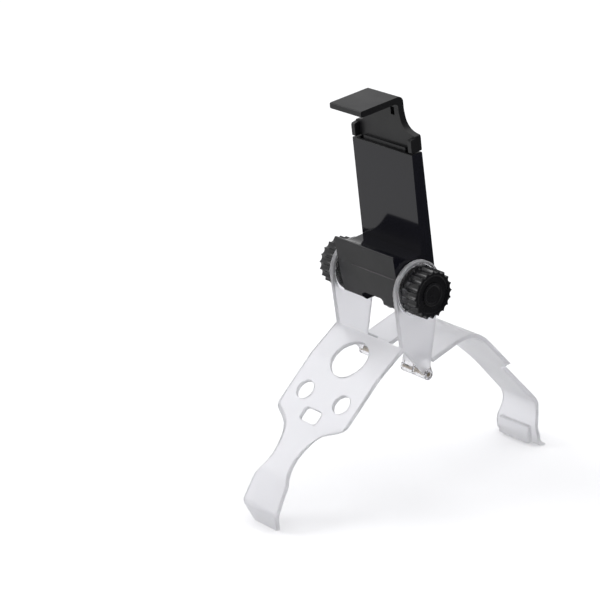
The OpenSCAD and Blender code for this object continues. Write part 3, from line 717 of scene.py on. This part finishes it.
def partingMesh(name):
    shape = bmesh.new()
    rings = []
    low, high = partingLine["lowX"], partingLine["highX"]
    for k in range(9):
        x = low + (high - low) * k / 8
        radius = partingLine["radius"] * min(1.0, 0.3 + k / 4)
        points = [(x * mm, (partingLine["y"] + radius * math.cos(a)) * mm, (partingLine["z"] + radius * math.sin(a)) * mm) for a in [math.pi * j / 6 for j in range(12)]]
        rings.append(addRing(shape, clampFrame, points))
    joinRings(shape, rings)
    return finishShape(shape, name, 40)


# the bead's pale finish is a painted highlight along the parting line
makePiece("jawPartingLine", partingMesh("jawPartingLine"), "clamp", None, paintedHighlightBlack)

# Studio: white floor and surround, a broad key from the front left and a softer fill
studio = {
    "floorSizeM": 8.0,
    "floorColour": "#e3e3e5",
    "floorGlow": 0.2,
    "skyLight": 0.95,
    "mirroredWhite": 0.68,
    "mirroredDark": 0.05,
    "keyPower": 9.0,
    "keySizeM": 0.9,
    "keyPlace": (-0.9, -1.1, 1.5),
    "topPower": 3.0,
    "topSizeM": 1.2,
    "topPlace": (0.1, 0.2, 1.7),
}


def studioFloor():
    shape = bmesh.new()
    half = studio["floorSizeM"] / 2
    shape.faces.new([shape.verts.new((x, y, 0)) for x, y in ((-half, -half), (half, -half), (half, half), (-half, half))])
    mesh = bpy.data.meshes.new("studioFloor")
    shape.to_mesh(mesh)
    shape.free()
    floor = bpy.data.objects.new("studioFloor", mesh)
    bpy.context.scene.collection.objects.link(floor)
    material, tree = emptyMaterial("whitePaperSweep")
    paper = addNode(tree, "ShaderNodeBsdfDiffuse", {"Color": linearColour(studio["floorColour"])})
    path = addNode(tree, "ShaderNodeLightPath")
    through = addNode(tree, "ShaderNodeMath", {"operation": "MAXIMUM"}, {0: path.outputs["Is Camera Ray"], 1: path.outputs["Is Transmission Ray"]})
    strength = addNode(tree, "ShaderNodeMath", {"operation": "MULTIPLY", 1: studio["floorGlow"]}, {0: through.outputs["Value"]})
    glow = addNode(tree, "ShaderNodeEmission", {"Color": (1, 1, 1, 1)}, {"Strength": strength.outputs["Value"]})
    both = addNode(tree, "ShaderNodeAddShader", {}, {0: paper.outputs["BSDF"], 1: glow.outputs["Emission"]})
    # glossy parts see the paper dimmed, and a black flag standing along its right-hand side
    place = addNode(tree, "ShaderNodeTexCoord")
    axes = addNode(tree, "ShaderNodeSeparateXYZ", {}, {"Vector": place.outputs["Object"]})
    flag = addNode(
        tree, "ShaderNodeMapRange",
        {"From Min": 0.0, "From Max": 0.16, "To Min": studio["mirroredWhite"], "To Max": studio["mirroredDark"]}, {"Value": axes.outputs["X"]}
    )
    mirrored = addNode(tree, "ShaderNodeEmission", {"Color": (1, 1, 1, 1)}, {"Strength": flag.outputs["Result"]})
    # a ray through frosted plastic counts as glossy too, and it sees the paper as it is
    only = addNode(
        tree, "ShaderNodeMath", {"operation": "SUBTRACT", "use_clamp": True}, {0: path.outputs["Is Glossy Ray"], 1: path.outputs["Is Transmission Ray"]}
    )
    shown = addNode(tree, "ShaderNodeMixShader", {}, {0: only.outputs["Value"], 1: both.outputs["Shader"], 2: mirrored.outputs["Emission"]})
    addNode(tree, "ShaderNodeOutputMaterial", {}, {"Surface": shown.outputs["Shader"]})
    mesh.materials.append(material)


def studioSurround():
    world = bpy.data.worlds.new("studioSurround")
    world.use_nodes = True
    tree = world.node_tree
    tree.nodes.clear()
    path = addNode(tree, "ShaderNodeLightPath")
    way = addNode(tree, "ShaderNodeTexCoord")
    axes = addNode(tree, "ShaderNodeSeparateXYZ", {}, {"Vector": way.outputs["Generated"]})
    # the room is darker on the right, where the photograph's glossy side faces go nearly black
    shade = addNode(
        tree, "ShaderNodeMapRange",
        {"From Min": -0.1, "From Max": 0.6, "To Min": studio["mirroredWhite"], "To Max": studio["mirroredDark"]}, {"Value": axes.outputs["X"]}
    )
    seen = addNode(tree, "ShaderNodeMath", {"operation": "MAXIMUM"}, {0: path.outputs["Is Camera Ray"], 1: path.outputs["Is Transmission Ray"]})
    mirrored = addNode(tree, "ShaderNodeMix", {"data_type": "FLOAT", 2: studio["skyLight"]}, {0: path.outputs["Is Glossy Ray"], 3: shade.outputs["Result"]})
    strength = addNode(tree, "ShaderNodeMix", {"data_type": "FLOAT", 3: 1.0}, {0: seen.outputs["Value"], 2: mirrored.outputs[0]})
    back = addNode(tree, "ShaderNodeBackground", {"Color": (1, 1, 1, 1)}, {"Strength": strength.outputs[0]})
    addNode(tree, "ShaderNodeOutputWorld", {}, {"Surface": back.outputs["Background"]})
    bpy.context.scene.world = world


def softLamp(name, place, aim, power, size):
    lamp = bpy.data.lights.new(name, "AREA")
    lamp.energy = power
    lamp.shape = "DISK"
    lamp.size = size
    holder = bpy.data.objects.new(name, lamp)
    holder.location = place
    holder.rotation_euler = (Vector(aim) - Vector(place)).to_track_quat("-Z", "Y").to_euler()
    holder.visible_transmission = False  # seen through frosted plastic, a lamp only leaves specks
    bpy.context.scene.collection.objects.link(holder)


studioFloor()
studioSurround()
softLamp("keyLamp", studio["keyPlace"], (0, 0, 0.08), studio["keyPower"], studio["keySizeM"])
softLamp("topLamp", studio["topPlace"], (0, 0, 0.05), studio["topPower"], studio["topSizeM"])
print("studio made")

# Camera: at the photograph's angle, with its centre on the picture's centre
cameraView = {"azimuthDeg": 50.33, "elevationDeg": 19.47, "lensMm": 145.47, "place": (0.6969, -0.63206, 0.4126)}


def photoCamera():
    azimuth = math.radians(cameraView["azimuthDeg"])
    elevation = math.radians(cameraView["elevationDeg"])
    back = Vector((math.sin(azimuth) * math.cos(elevation), -math.cos(azimuth) * math.cos(elevation), math.sin(elevation)))
    right = Vector((math.cos(azimuth), math.sin(azimuth), 0))
    up = back.cross(right)
    lens = bpy.data.cameras.new("photoCamera")
    lens.lens = cameraView["lensMm"]
    lens.sensor_width = 36
    lens.clip_start = 0.05
    lens.clip_end = 20
    holder = bpy.data.objects.new("photoCamera", lens)
    holder.matrix_world = Matrix.Translation(cameraView["place"]) @ Matrix((right, up, back)).transposed().to_4x4()
    bpy.context.scene.collection.objects.link(holder)
    bpy.context.scene.camera = holder


photoCamera()
bpy.context.scene.view_settings.view_transform = "Standard"
print("camera set")
